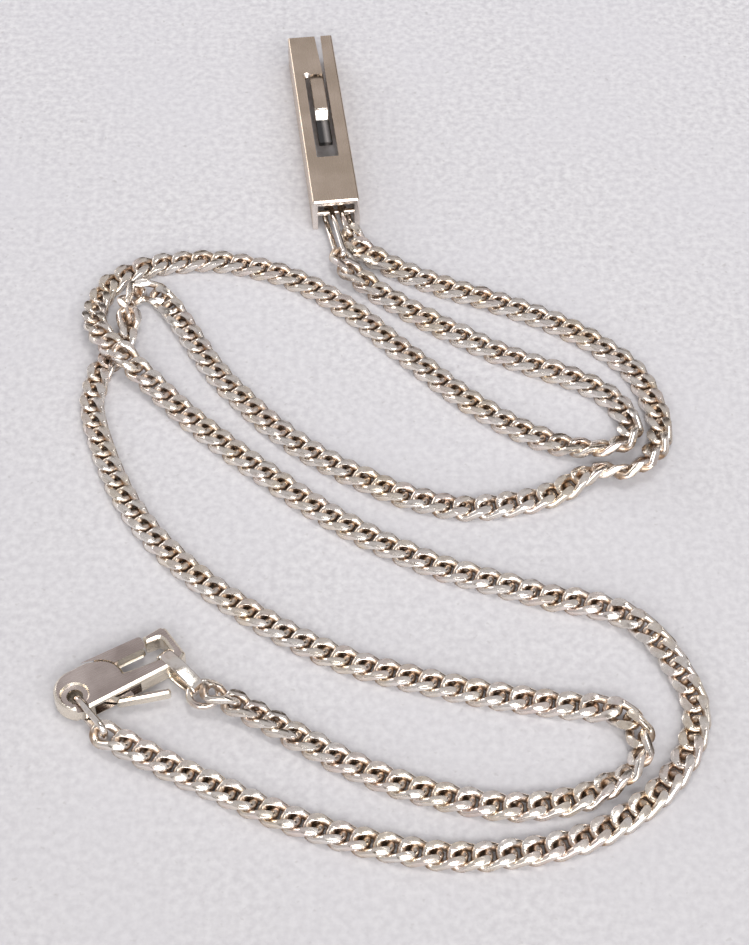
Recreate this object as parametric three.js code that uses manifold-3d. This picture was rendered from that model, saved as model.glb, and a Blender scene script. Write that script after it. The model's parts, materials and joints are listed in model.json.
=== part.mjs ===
// Double-strand curb chain for a pocket watch, lying in loops on a table.
// A slotted bar clip holds both strands at one end and a squeeze clasp joins them at the other.
// Millimetres, +Z up, +Y away from the viewer. The origin is the bottom centre of the laid-out chain.
import * as THREE from 'three';
import { mergeVertices } from 'three/addons/utils/BufferGeometryUtils.js';
import Module from 'manifold-3d';

const wasm = await Module();
wasm.setup();

// Chain
const linkPitch = 3.7;
const chainWidth = 4.6;
const chainThickness = 2.0;
const linkLength = 5.6;
const linkSkew = -0.32;
const linkSides = 6;
const endSides = 8;
const sectionGap = 0.45;
const sectionsPerStrand = 20;
const endLinkLength = 4.9;
const endLinkWire = 1.2;
const endLinkHoleCorner = 1.1;
const ringPlay = 0.6;

// Moves the finished layout so that the origin is the bottom centre of its box
const layoutShift = [1.23, 4.7, 0];

// Strand routes, one point per row: x, y, lift of the underside, roll in degrees about the run
const routeA = [
  [-7.3, 30.2, 1.0, -20], [-5.8, 26.6, 0.6, -20], [-1.9, 23.3, 0.2, 0], [6.2, 16.6, 0, 0],
  [21.5, 6.2, 0, 0], [32.5, 0.8, 0, 0], [38.0, -2.4, 0, 0], [41.6, -6.0, 0.1, 0],
  [43.4, -10.3, 0, 10], [43.6, -14.0, 0, 25], [41.6, -17.0, 0, 40], [38.0, -17.6, 0.1, 30],
  [29.5, -15.5, 0.2, 0], [17.5, -7.2, 0, 0], [4.9, 5.7, 0, 0], [-6.4, 18.0, 0, 0],
  [-17.0, 25.8, 0, 0], [-30.0, 30.0, 0, 0], [-42.5, 28.9, 0, 0], [-47.5, 26.2, 0, 0],
  [-50.6, 23.0, 0, 0], [-52.0, 17.8, 0.3, 0], [-52.0, 12.6, 1.5, 0], [-50.2, 7.9, 2.5, 0],
  [-46.8, 3.8, 2.6, 0], [-42.8, 0.0, 1.2, 0], [-33.5, -9.8, 0, 0], [-20.5, -22.2, 0, 0],
  [-6.7, -33.6, 0, 0], [8.3, -42.6, 0, 0], [25.0, -48.7, 0, 0], [38.0, -52.8, 0, 10], [42.5, -56.4, 0, 30],
  [46.2, -62.0, 0, 35], [49.6, -72.2, 0, 20], [46.8, -81.8, 0, 15], [39.8, -89.8, 0, 0],
  [29.0, -96.0, 0, 0], [10.5, -98.4, 0, 0], [-10.0, -93.5, 0, 0], [-29.2, -84.4, 0, 0],
  [-43.4, -77.2, 1.2, 0],
];
const routeB = [
  [-5.6, 36.6, 1.0, 10], [-3.7, 33.0, 0.5, 10], [0.4, 29.9, 0.2, 0], [11.3, 23.7, 0, 0],
  [22.3, 18.9, 0, 0], [33.0, 13.2, 0, 0], [40.0, 7.8, 0, 0], [45.8, 1.0, 0, 0],
  [49.0, -9.8, 0, 0], [48.6, -15.8, 0, 20], [46.4, -20.5, 0, 50], [43.0, -22.8, 0, 45],
  [39.5, -22.6, 0, 35], [36.0, -23.4, 0, 25], [32.0, -26.0, 0, 0], [27.3, -28.4, 0, 0],
  [15.3, -30.6, 0, 0], [6.9, -28.8, 0, 0], [-1.7, -24.8, 0, 0], [-15.7, -14.8, 0, 0],
  [-28.6, 0.2, 0, 0], [-36.6, 14.2, 0, 0], [-39.6, 18.8, 0, -20], [-42.6, 21.0, 0, -45],
  [-45.2, 20.0, 0, -70], [-46.2, 16.6, 0, -75], [-45.8, 13.4, 0, -50], [-46.3, 9.8, 0, -5],
  [-48.0, 5.6, 0, 0], [-50.0, 1.8, 0, 0], [-50.8, -2.4, 0, 0], [-50.7, -8.4, 0, 0],
  [-43.2, -29.0, 0, 0], [-33.3, -42.5, 0, 0], [-19.5, -54.2, 0, 0], [-6.4, -62.0, 0, 0], [7.9, -66.8, 0, 0],
  [20.5, -69.8, 0, 0], [33.0, -71.8, 0, 0], [37.4, -73.2, 0, 25], [39.8, -76.4, 0, 45],
  [40.4, -79.8, 0, 55], [39.0, -83.2, 0, 50], [35.5, -85.8, 0, 20], [31.4, -88.0, 0, 0],
  [21.2, -89.9, 0, 0], [10.6, -88.2, 0, 0], [-1.6, -83.8, 0, 0], [-21.8, -72.0, 0, 60],
  [-26.7, -70.1, 0, 92],
];

// Bar clip: a folded channel whose near end holds the cross pin
const clipPosition = [-8.2, 40.7, 0];
const clipTurn = 6.8;
const clipLength = 50.5;
const clipWidth = 9;
const clipHeight = 6.8;
const clipSheet = 1;
const windowStart = 13;
const tongueRoot = 38;
const crossPinRadius = 0.6;
const crossPinY = 1.3;
const crossPinZ = 2.9;
const windowLeft = -2.3;
const windowRight = 1.95;
const slotWidth = 1;
const tongueRight = 1.4;
const slitRightAtFork = 2.2;
const slitLeftAtFork = 0.9;
const wallFootCut = 0.8;
const runningGap = 0.3;

// Side view of the tongue: y and z. It runs level from its root, bends down and runs on lower
const tongueProfile = [
  [tongueRoot, clipHeight], [27.5, clipHeight], [26.2, 5.0], [19.3, 5.0], [19.3, 4.1],
  [26.6, 4.1], [27.9, clipHeight - clipSheet], [tongueRoot, clipHeight - clipSheet],
];

// Rings on the cross pin
const ringDepth = 0.8;
const ringA = { pinX: -1.6, width: 3.2, wire: 0.6, roll: 70 };
const ringB = { pinX: 1.5, width: 3.6, wire: 0.7, roll: -75 };

// Squeeze clasp
const claspPosition = [-50.7, -72.1, 0.4];
const claspTurn = 32.7;
const claspThickness = 3.6;
const claspHalfWidth = 4.1;
const claspLength = 21.6;
const slotStart = 4.7;
const slotLow = 0.7;
const slotHigh = 2.9;
const leverPivot = [7.4, -0.4];
const pivotArc = 4.2;
const pivotPinRadius = 0.7;
const eyeHole = [2.9, -0.7];
const eyeHoleRadius = 1.3;
const eyeRecessRadius = 2.3;
const eyeRecessDepth = 0.35;
const eyeGrooveDepth = 0.9;
const eyeGrooveHalfWidth = 1.1;
const slotEnd = 12.9;
const hookThinning = 0.6;
const hookThinFrom = 17;
const hookThinTo = 1.4;
const gateInset = 0.2;
const pivotArcFrom = -6;
const pivotArcTo = 78;
const gateArcFrom = 40;
const gateArcTo = 74;
const eyeEndX = 4.1;

// Clasp outlines: the back edge, hook and mouth in order, then the lever's and the spring's parts
const hookOutline = [
  [eyeEndX, -claspHalfWidth], [20.2, -3.9], [claspLength, -2.9], [21.4, 3.2], [20.6, 3.9], [17.2, 3.6],
  [17.2, 2.2], [19.5, 1.9], [19.8, 1.2], [19.8, -1.8], [14.5, -1.3],
];
const shoulder = [7.2, claspHalfWidth];
const gateTip = [[16.6, 3.5], [16.6, 2.2]];
const leverWeb = [
  [5.5, -1.6], [9.2, -4.6], [11.2, -5.4], [9.8, -0.2], [12.6, 2.6], [9.0, 4.1], [6.0, 1.4],
];
const thumbPiece = [[9.0, -4.5], [9.3, -5.5], [16.0, -8.0], [16.4, -7.0]];
const springStrip = [[5.0, 1.9], [5.3, 1.9], [5.3, 3.0], [7.1, 3.5], [7.0, 3.8], [5.0, 3.3]];
const springLow = 1.3;
const springHigh = 2.3;

// Wire pieces at the clasp: the eye link, then the bail and the ring it carries
const eyeWire = 0.9;
const eyeLinkWidth = 4.3;
const bailTop = [18.45, -0.7];
const bailFoot = [20.3, -9.4];
const strapThickness = 0.45;
const strapWidth = 2;
const strapHeight = 4.0;
const strapCorner = 1.2;
const ringWire = 0.9;
const ringSpan = 4.7;

const degrees = Math.PI / 180;
const group = new THREE.Group();
group.name = 'pocket_watch_chain';

const silver = { color: 0xcfc8be, roughness: 0.24, metalness: 1 };
const brushedSilver = { color: 0xa99d8f, roughness: 0.42, metalness: 1 };
const springSteel = { color: 0x8d8a85, roughness: 0.35, metalness: 1 };

function addMesh(name, geometry, finish, parent = group) {
  const mesh = new THREE.Mesh(geometry, new THREE.MeshStandardMaterial(finish));
  mesh.name = name;
  parent.add(mesh);
  return mesh;
}

function toSolid(geometry) {
  const bare = geometry.clone();
  bare.deleteAttribute('normal');
  bare.deleteAttribute('uv');
  const merged = mergeVertices(bare, 1e-4);
  return new wasm.Manifold(new wasm.Mesh({
    numProp: 3,
    vertProperties: Float32Array.from(merged.attributes.position.array),
    triVerts: Uint32Array.from(merged.index.array),
  }));
}

function toGeometry(solid) {
  const mesh = solid.getMesh();
  const geometry = new THREE.BufferGeometry();
  geometry.setAttribute('position', new THREE.BufferAttribute(mesh.vertProperties, 3));
  geometry.setIndex(new THREE.BufferAttribute(mesh.triVerts, 1));
  geometry.computeVertexNormals();
  return geometry;
}

function joinAll(geometries) {
  return geometries.map(toSolid).reduce((whole, piece) => whole.add(piece));
}

function extrude(shape, depth, low = 0, curveSegments = 8) {
  const geometry = new THREE.ExtrudeGeometry(shape, { depth, bevelEnabled: false, curveSegments });
  geometry.translate(0, 0, low);
  return geometry;
}

function block(lowCorner, highCorner) {
  const [x0, y0, z0] = lowCorner;
  const [x1, y1, z1] = highCorner;
  const geometry = new THREE.BoxGeometry(x1 - x0, y1 - y0, z1 - z0);
  geometry.translate((x0 + x1) / 2, (y0 + y1) / 2, (z0 + z1) / 2);
  return geometry;
}

function polygon(points) {
  return new THREE.Shape(points.map(([x, y]) => new THREE.Vector2(x, y)));
}

function uprightPin(radius, low, high, x, y, sides = 16) {
  const geometry = new THREE.CylinderGeometry(radius, radius, high - low, sides);
  geometry.rotateX(90 * degrees);
  geometry.translate(x, y, (low + high) / 2);
  return geometry;
}

// Height of a rolled run's middle above its underside
function rolledHalfHeight(roll) {
  return (chainWidth / 2) * Math.abs(Math.sin(roll)) + (chainThickness / 2) * Math.cos(roll);
}

// A strand is a smooth curve with a roll at each point and whole links spaced evenly along it
class Strand {
  constructor(route) {
    this.rolls = route.map((point) => point[3] * degrees);
    this.curve = new THREE.CatmullRomCurve3(
      route.map(([x, y, lift], index) => {
        return new THREE.Vector3(x, y, lift + rolledHalfHeight(this.rolls[index]));
      }),
    );
    this.curve.arcLengthDivisions = 2000;
    this.length = this.curve.getLength();
    this.linkCount = Math.round(this.length / linkPitch);
    this.pitch = this.length / this.linkCount;
  }

  // Distance to the start of a section, always where two links meet. The end links stay apart.
  station(index) {
    return this.pitch * (1 + Math.ceil(((this.linkCount - 2) * index) / sectionsPerStrand));
  }

  // Placement at a distance along the strand: X forward, Y to the left, Z out of the flat face
  frameAt(distance) {
    const fraction = THREE.MathUtils.clamp(distance / this.length, 0, 1);
    const t = this.curve.getUtoTmapping(fraction);
    const place = t * (this.rolls.length - 1);
    const index = Math.min(Math.floor(place), this.rolls.length - 2);
    const roll = THREE.MathUtils.lerp(this.rolls[index], this.rolls[index + 1], place - index);
    const forward = this.curve.getTangent(t);
    const left = new THREE.Vector3(0, 0, 1).cross(forward).normalize();
    left.applyAxisAngle(forward, roll);
    const normal = new THREE.Vector3().crossVectors(forward, left);
    const middle = this.curve.getPoint(t);
    middle.z = Math.max(middle.z, rolledHalfHeight(roll));
    return new THREE.Matrix4().makeBasis(forward, left, normal).setPosition(middle);
  }
}

// One link's outline as a flat oval, turned a little across the run
function linkOval(length, skew, sides) {
  const shape = new THREE.Shape();
  shape.absellipse(0, 0, length / 2, chainWidth / 2, 0, 2 * Math.PI, false, skew);
  return extrude(shape, chainThickness, -chainThickness / 2, sides / 2);
}

// A short run of joined links with a round end at each pivot. No link sinks into the table.
function chainSection(strand, from, to) {
  const endInset = chainWidth / 2 + sectionGap / 2;
  const first = from + endInset;
  const last = to - endInset;
  const steps = Math.max(1, Math.round((last - first) / linkPitch));
  const links = [];
  for (let step = 0; step <= steps; step += 1) {
    const atEnd = step === 0 || step === steps;
    const link = atEnd
      ? linkOval(chainWidth, 0, endSides)
      : linkOval(linkLength, linkSkew, linkSides);
    link.applyMatrix4(strand.frameAt(first + ((last - first) * step) / steps));
    link.computeBoundingBox();
    link.translate(0, 0, Math.max(0, -link.boundingBox.min.z));
    links.push(link);
  }
  return toGeometry(joinAll(links));
}

// A closed wire loop whose end wires are centred on two points
function wireLoop(start, end, outerWidth, wire, depth, roll, corner = outerWidth / 2) {
  const from = new THREE.Vector3(...start);
  const to = new THREE.Vector3(...end);
  const span = from.distanceTo(to);
  const shape = roundedRectangle(span + wire, outerWidth, corner);
  shape.holes.push(roundedRectangle(span - wire, outerWidth - 2 * wire, corner - wire));
  const geometry = extrude(shape, depth, -depth / 2, 5);
  const forward = to.clone().sub(from).normalize();
  const left = new THREE.Vector3(0, 0, 1).cross(forward).normalize();
  left.applyAxisAngle(forward, roll * degrees);
  const normal = new THREE.Vector3().crossVectors(forward, left);
  const frame = new THREE.Matrix4().makeBasis(forward, left, normal);
  frame.setPosition(from.add(to).multiplyScalar(0.5));
  return geometry.applyMatrix4(frame);
}

function roundedRectangle(length, width, corner) {
  const radius = Math.min(corner, length / 2 - 0.01, width / 2 - 0.01);
  const x = length / 2 - radius;
  const y = width / 2 - radius;
  const shape = new THREE.Shape();
  shape.absarc(x, -y, radius, -90 * degrees, 0, false);
  shape.absarc(x, y, radius, 0, 90 * degrees, false);
  shape.absarc(-x, y, radius, 90 * degrees, 180 * degrees, false);
  shape.absarc(-x, -y, radius, 180 * degrees, 270 * degrees, false);
  return shape;
}

// A single open link that joins a strand's end to the hardware
function endLink(strand, centre) {
  const frame = strand.frameAt(centre);
  const shape = roundedRectangle(endLinkLength, chainWidth, chainWidth / 2);
  shape.holes.push(roundedRectangle(
    endLinkLength - 2 * endLinkWire, chainWidth - 2 * endLinkWire, endLinkHoleCorner,
  ));
  return extrude(shape, endLinkWire, -endLinkWire / 2, 5).applyMatrix4(frame);
}

function addStrand(letter, strand) {
  const inset = strand.pitch - runningGap / 2 - endLinkLength / 2;
  addMesh(`link_${letter}_first`, endLink(strand, inset), silver);
  for (let index = 0; index < sectionsPerStrand; index += 1) {
    const name = `chain_${letter}_${String(index + 1).padStart(2, '0')}`;
    addMesh(name, chainSection(strand, strand.station(index), strand.station(index + 1)), silver);
  }
  addMesh(`link_${letter}_last`, endLink(strand, strand.length - inset), silver);
}

const strandA = new Strand(routeA);
const strandB = new Strand(routeB);
addStrand('a', strandA);
addStrand('b', strandB);

// Turns a side view drawn in y and z upright, its depth along X
function sideways(geometry) {
  geometry.rotateX(90 * degrees);
  geometry.rotateZ(90 * degrees);
  return geometry;
}

// Clip: X across, Y from the near end to the forked end, Z up
const clip = new THREE.Group();
clip.position.set(...clipPosition);
clip.rotation.z = clipTurn * degrees;
group.add(clip);

function clipBody() {
  const halfClip = clipWidth / 2;
  const plate = polygon([
    [-halfClip, 0], [halfClip, 0], [halfClip, clipLength], [slitRightAtFork, clipLength],
    [windowRight, tongueRoot], [windowRight, windowStart], [windowLeft, windowStart],
    [windowLeft, tongueRoot - 0.2], [windowLeft + slotWidth / 2, tongueRoot + runningGap],
    [tongueRight, tongueRoot + runningGap], [slitLeftAtFork, clipLength],
    [-halfClip, clipLength],
  ]);
  const wallTop = clipHeight - clipSheet / 2;
  const wall = (x) => {
    const side = polygon([
      [wallFootCut, 0], [clipLength, 0], [clipLength, wallTop], [0, wallTop], [0, wallFootCut],
    ]);
    return sideways(extrude(side, clipSheet)).translate(x, 0, 0);
  };
  const top = extrude(plate, clipSheet, clipHeight - clipSheet);
  const body = joinAll([top, wall(-halfClip), wall(halfClip - clipSheet)]);
  const bore = new THREE.CylinderGeometry(
    crossPinRadius + runningGap, crossPinRadius + runningGap, clipWidth + 2, 16,
  );
  bore.rotateZ(90 * degrees);
  bore.translate(0, crossPinY, crossPinZ);
  return toGeometry(body.subtract(toSolid(bore)));
}
addMesh('clip_body', clipBody(), brushedSilver, clip);

const tongueLeft = windowLeft + slotWidth;
const tongue = sideways(extrude(polygon(tongueProfile), tongueRight - tongueLeft));
addMesh('clip_tongue', tongue.translate(tongueLeft, 0, 0), brushedSilver, clip);

const crossPin = new THREE.CylinderGeometry(crossPinRadius, crossPinRadius, clipWidth, 16);
crossPin.rotateZ(90 * degrees);
crossPin.translate(0, crossPinY, crossPinZ);
addMesh('clip_cross_pin', crossPin, silver, clip);

// Two wire rings hang on the cross pin and hold one strand each
clip.updateMatrixWorld(true);

function clipPoint(x, y, z) {
  return clip.localToWorld(new THREE.Vector3(x, y, z)).toArray();
}

// Distance inside a strand's end at which a wire through its end link sits
function wireInside(strand, wire) {
  return strand.pitch - runningGap / 2 - endLinkLength + endLinkWire + ringPlay + wire / 2;
}

function strandPoint(strand, distance) {
  return new THREE.Vector3().setFromMatrixPosition(strand.frameAt(distance)).toArray();
}

function addClipRing(name, strand, { pinX, width, wire, roll }) {
  const start = clipPoint(pinX, crossPinY + crossPinRadius + ringPlay + wire / 2, crossPinZ);
  const end = strandPoint(strand, wireInside(strand, wire));
  addMesh(name, wireLoop(start, end, width, wire, ringDepth, roll), silver);
}
addClipRing('clip_ring_a', strandA, ringA);
addClipRing('clip_ring_b', strandB, ringB);

// Clasp: X from the eye end to the hook, Y towards the gate, Z up
const clasp = new THREE.Group();
clasp.position.set(...claspPosition);
clasp.rotation.z = claspTurn * degrees;
group.add(clasp);

function claspBody() {
  const [pivotX, pivotY] = leverPivot;
  const outline = polygon(hookOutline);
  outline.absarc(pivotX, pivotY, pivotArc, pivotArcFrom * degrees, pivotArcTo * degrees, false);
  outline.lineTo(...shoulder);
  outline.absarc(eyeEndX, 0, claspHalfWidth, 90 * degrees, 270 * degrees, false);
  let body = toSolid(extrude(outline, claspThickness, 0, 10));
  const cut = (geometry) => {
    body = body.subtract(toSolid(geometry));
  };
  const [eyeX, eyeY] = eyeHole;
  const grooveLow = eyeX - eyeGrooveHalfWidth;
  const grooveHigh = eyeX + eyeGrooveHalfWidth;
  const outside = claspHalfWidth + 2;
  const below = -1;
  const above = claspThickness + 1;
  cut(block([slotStart, -outside, slotLow], [slotEnd, outside, slotHigh]));
  cut(uprightPin(eyeHoleRadius, below, above, ...eyeHole));
  cut(uprightPin(eyeRecessRadius, claspThickness - eyeRecessDepth, above, ...eyeHole));
  cut(block([grooveLow, -outside, below], [grooveHigh, eyeY, eyeGrooveDepth]));
  cut(block([grooveLow, -outside, claspThickness - eyeGrooveDepth], [grooveHigh, eyeY, above]));
  cut(uprightPin(pivotPinRadius + runningGap, below, above, ...leverPivot));
  cut(block([hookThinFrom, -outside, below], [claspLength + 1, hookThinTo, hookThinning]));
  cut(block([hookThinFrom, -outside, claspThickness - hookThinning],
    [claspLength + 1, hookThinTo, above]));
  return toGeometry(body);
}
addMesh('clasp_body', claspBody(), brushedSilver, clasp);

function claspLever() {
  const [pivotX, pivotY] = leverPivot;
  const rootArc = pivotArc + runningGap;
  const gate = new THREE.Shape();
  gate.absarc(pivotX, pivotY, rootArc, gateArcFrom * degrees, gateArcTo * degrees, false);
  gateTip.forEach((corner) => gate.lineTo(...corner));
  const webLow = slotLow + runningGap;
  const webDepth = slotHigh - slotLow - 2 * runningGap;
  const pieces = [
    extrude(gate, claspThickness - 2 * gateInset, gateInset),
    extrude(polygon(leverWeb), webDepth, webLow),
    extrude(polygon(thumbPiece), webDepth, webLow),
  ];
  const bore = uprightPin(pivotPinRadius + runningGap, -1, claspThickness + 1, ...leverPivot);
  return toGeometry(joinAll(pieces).subtract(toSolid(bore)));
}
addMesh('clasp_lever', claspLever(), brushedSilver, clasp);
addMesh('clasp_pivot_pin', uprightPin(pivotPinRadius, 0, claspThickness, ...leverPivot), silver, clasp);

const spring = extrude(polygon(springStrip), springHigh - springLow, springLow);
addMesh('clasp_spring', spring, springSteel, clasp);

// The eye link joins the clasp's eye to strand A, and the bail joins its hook to strand B
clasp.updateMatrixWorld(true);

function claspPoint(x, y, z) {
  return clasp.localToWorld(new THREE.Vector3(x, y, z)).toArray();
}

const eyeLinkEnd = strandPoint(strandA, strandA.length - wireInside(strandA, eyeWire));
addMesh('clasp_eye_link', wireLoop(
  claspPoint(...eyeHole, claspThickness / 2), eyeLinkEnd, eyeLinkWidth, eyeWire, eyeWire, 90,
), silver);

const bailStart = claspPoint(...bailTop, claspThickness / 2);
const bailEnd = claspPoint(...bailFoot, claspThickness / 2);
addMesh('clasp_bail', wireLoop(
  bailStart, bailEnd, strapHeight, strapThickness, strapWidth, 90, strapCorner,
), silver);

const bailRun = new THREE.Vector3(...bailEnd).sub(new THREE.Vector3(...bailStart)).normalize();
const ringNear = new THREE.Vector3(...bailEnd).addScaledVector(
  bailRun, -strapThickness / 2 - ringPlay - ringWire / 2,
);
const ringFar = ringNear.clone().addScaledVector(bailRun, ringSpan);
addMesh('bail_ring', wireLoop(
  ringNear.toArray(), ringFar.toArray(), ringSpan + ringWire, ringWire, ringWire, 0,
), silver);

// The layout's middle goes to the origin
group.position.set(...layoutShift);

export default group;
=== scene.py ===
"""A double-strand curb chain for a pocket watch, laid in loops on a pale table.

Every curb link is modelled, with a bar clip at one end and a squeeze clasp at the other.
Metres, +Z up, +Y away from the viewer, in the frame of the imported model.
"""

import json
import math
import random

import bmesh
import bpy
import numpy as np
from mathutils import Matrix, Quaternion, Vector, noise


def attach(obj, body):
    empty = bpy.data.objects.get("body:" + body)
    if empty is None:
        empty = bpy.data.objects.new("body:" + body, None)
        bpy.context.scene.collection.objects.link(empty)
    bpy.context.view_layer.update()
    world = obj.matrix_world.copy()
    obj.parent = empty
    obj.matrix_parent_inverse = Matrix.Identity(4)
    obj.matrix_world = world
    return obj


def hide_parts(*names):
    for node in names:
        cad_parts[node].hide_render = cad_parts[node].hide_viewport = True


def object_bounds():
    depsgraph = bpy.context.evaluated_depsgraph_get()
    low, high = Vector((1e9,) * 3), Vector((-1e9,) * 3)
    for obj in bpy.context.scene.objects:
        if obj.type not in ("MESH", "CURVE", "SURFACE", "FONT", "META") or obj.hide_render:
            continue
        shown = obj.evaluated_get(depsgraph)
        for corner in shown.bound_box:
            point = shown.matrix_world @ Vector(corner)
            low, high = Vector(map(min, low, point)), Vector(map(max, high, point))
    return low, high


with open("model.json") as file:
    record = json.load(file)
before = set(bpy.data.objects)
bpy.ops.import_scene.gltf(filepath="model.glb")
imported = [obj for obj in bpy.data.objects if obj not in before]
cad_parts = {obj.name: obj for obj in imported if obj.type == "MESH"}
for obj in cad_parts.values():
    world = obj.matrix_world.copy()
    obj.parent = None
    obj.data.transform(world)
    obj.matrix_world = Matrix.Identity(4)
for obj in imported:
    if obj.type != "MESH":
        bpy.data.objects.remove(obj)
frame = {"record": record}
cad_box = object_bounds()

# Chain, in metres
LINK_PITCH = 0.0037
CHAIN_WIDTH = 0.0046
CHAIN_THICKNESS = 0.0020
SECTIONS_PER_STRAND = 20
ROUTE_STEPS = 80
LAYOUT_SHIFT = (0.00123, 0.0047, 0.0)
# Distance from a strand's end to the inside of its end link, where a fitting hooks in
END_LINK_INSIDE = 0.0008

# Curb link: radius of its wire, spare length in the neighbour, and steps round it
LINK_WIRE = 0.00072
LINK_PLAY = 0.00028
LINK_STEPS = 40
LINK_SIDES = 14
# A power below 1 makes the oval squarer
LINK_SQUARENESS = 0.85
# Height of the bent sides, and how far their peaks move from the ends to the middle
LINK_RISE = 0.0022
LINK_RISE_INWARD = 1.0
# Metal filed off each side, and width of the softened edges of the filed flats
SIDE_FILING = 0.00016
WORN_EDGE = 0.00013
# Spread of each link's own turn about its length and on its flat, in degrees
LINK_ROLL_SPREAD = 2.0
LINK_TURN_SPREAD = 1.2

# The hardware's sizes and the routes are in millimetres and are scaled by this
MM = 0.001

# Bar clip
CLIP_POSITION = (-8.2, 40.7, 0)
CLIP_TURN = 6.8
CLIP_LENGTH = 50.5
CLIP_WIDTH = 9
CLIP_HEIGHT = 6.8
CLIP_SHEET = 1
WINDOW_START = 13
WINDOW_LEFT = -2.3
WINDOW_RIGHT = 1.95
TONGUE_ROOT = 38
TONGUE_LEFT = -1.3
TONGUE_RIGHT = 1.4
SLIT_LEFT_AT_FORK = 0.9
SLIT_RIGHT_AT_FORK = 2.2
WALL_FOOT_CUT = 0.5
CROSS_PIN_Y = 1.3
CROSS_PIN_Z = 2.9
CROSS_PIN_RADIUS = 0.6
PIN_BORE_RADIUS = 0.75
RING_PLAY = 0.05
# Place on the pin, width, wire, depth and roll of each ring
CLIP_RINGS = ((-1.6, 3.4, 0.8, 1.1, 65), (1.5, 4.3, 1.05, 1.05, -60))
# Profile of the small cone that ends the tongue's slot: height and radius
SLOT_STOP = [(-1.2, 0.0), (-1.2, 0.25), (-0.75, 0.3), (0.1, 1.0), (0.1, 0.0)]
# Middle of the tongue's sheet, seen from the side: y, z and bend radius
TONGUE_PATH = [(TONGUE_ROOT + 0.28, 6.35, 0), (27.7, 6.35, 0.55), (26.35, 4.55, 0.55), (19.3, 4.55, 0)]
TONGUE_SHEET = 0.9
TONGUE_CROWN = 0.12

# Squeeze clasp
CLASP_POSITION = (-50.7, -72.1, 0.4)
CLASP_TURN = 32.7
CLASP_THICKNESS = 3.6
CLASP_HALF_WIDTH = 4.1
CLASP_LENGTH = 21.6
LEVER_PIVOT = (7.4, -0.4)
EYE_HOLE = (2.9, -0.7)
LEVER_ROUND = 4.2
EYE_RADIUS = 1.3
# Slot for the lever between the clasp's two plates: from and to, along and upwards
LEVER_SLOT = ((4.7, 0.7), (12.9, 2.9))
# Grooves for the eye link, above and below: half width, and their floors
EYE_GROOVE_HALF = 1.0
EYE_GROOVE_FLOORS = (2.75, 0.85)
# Profile of the sunk rim round the eye: height and radius
EYE_RIM = [(3.1, 0.0), (3.1, 1.4), (3.2, 2.1), (3.6, 2.35), (4.0, 2.4), (4.0, 0.0)]
RIVET_RADIUS = 0.86
BAIL_TOP = (18.45, -0.7)
BAIL_FOOT = (20.3, -9.4)
RING_SPAN = 4.7
RING_WIRE = 1.15
RING_BACK = 1.275
# Corners of the lever's parts and the spring, seen from above: x, y and radius
LEVER_WEB = [
    (5.5, -1.6, 0.5), (9.2, -4.6, 0.3), (11.2, -5.4, 0.3), (9.8, -0.2, 0.8),
    (12.6, 2.6, 0.3), (9.0, 4.1, 0.3), (6.0, 1.4, 0.8),
]
THUMB_ARM = [
    (8.0, -4.35, 0.3), (8.2, -5.15, 0.3), (12.5, -6.75, 3.0), (16.1, -8.0, 0.48),
    (16.45, -6.95, 0.48), (12.7, -5.6, 3.0),
]
GATE_TIP = [(16.7, 3.6, 0.25), (16.5, 1.75, 0.3)]
SPRING_STRIP = [
    (5.0, 1.9, 0.1), (5.3, 1.9, 0.1), (5.3, 3.0, 0.5), (7.1, 3.5, 0.1), (7.0, 3.8, 0.1),
    (5.0, 3.3, 0.5),
]
# Hook and window of the clasp's plates, from the outer corner round to the lever's seat
HOOK_OUTLINE = [
    (20.2, -3.9, 1.2), (CLASP_LENGTH, -2.9, 0.6), (21.4, 3.2, 0.7), (20.6, 3.9, 0.5),
    (17.2, 3.6, 0.25), (17.2, 2.2, 0.25), (19.5, 1.9, 0.35), (19.8, 1.2, 0.5),
    (19.8, -1.8, 0.6), (14.5, -1.3, 0.8),
]

# Camera and softboxes: name, place, width and height, power in watts, colour
CAMERA_PLACE = (0.00033, -0.2610, 0.2808)
CAMERA_TILT = math.radians(41)
CAMERA_LENS = 81.9
CAMERA_SENSOR = 36
SOFTBOXES = (
    ("top_softbox", (0.08, 0.05, 0.88), (0.34, 0.24), 2.2, (1.0, 0.98, 0.96)),
    ("front_softbox", (0.05, -0.70, 0.62), (0.80, 0.30), 5.2, (1.0, 0.99, 0.97)),
    ("right_softbox", (0.66, -0.60, 0.60), (0.45, 0.35), 1.6, (1.0, 0.99, 0.98)),
    ("low_softbox", (0.0, -1.05, 0.36), (1.3, 0.22), 2.2, (1.0, 0.98, 0.97)),
    ("window_softbox", (-0.80, 0.72, 0.36), (0.60, 0.40), 2.0, (1.0, 0.99, 0.98)),
)
FLOOR_HALF_WIDTH = 1.5

# Colours
BRIGHT_SILVER = (0.91, 0.87, 0.82)
WARM_SILVER = (0.90, 0.81, 0.68)
ROSY_SILVER = (0.89, 0.79, 0.74)
# Brown of tarnish, also painted as shade in the links' holes, hidden ends and undersides
TARNISH_AND_SHADE = (0.36, 0.235, 0.145)
BAR_TINT = (0.79, 0.66, 0.54)
BAR_SHADE = (0.62, 0.51, 0.40)
# Painted highlight for the clip's faces that look towards the near end
BAR_NEAR_HIGHLIGHT = (0.90, 0.83, 0.77)
# Painted shadow for the tongue's lower strip inside the channel
PAINTED_CHANNEL_SHADOW = (0.10, 0.10, 0.10)
PLATE_TINT = (0.78, 0.69, 0.645)
PLATE_SHADE = (0.44, 0.37, 0.34)
# Painted highlight for the clasp's sides and bevels
PLATE_SIDE_HIGHLIGHT = (0.88, 0.81, 0.70)
FLOOR_LIGHT = (0.75, 0.75, 0.775)
FLOOR_DARK = (0.57, 0.565, 0.60)
FLOOR_COOL = (0.66, 0.66, 0.705)
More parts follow.
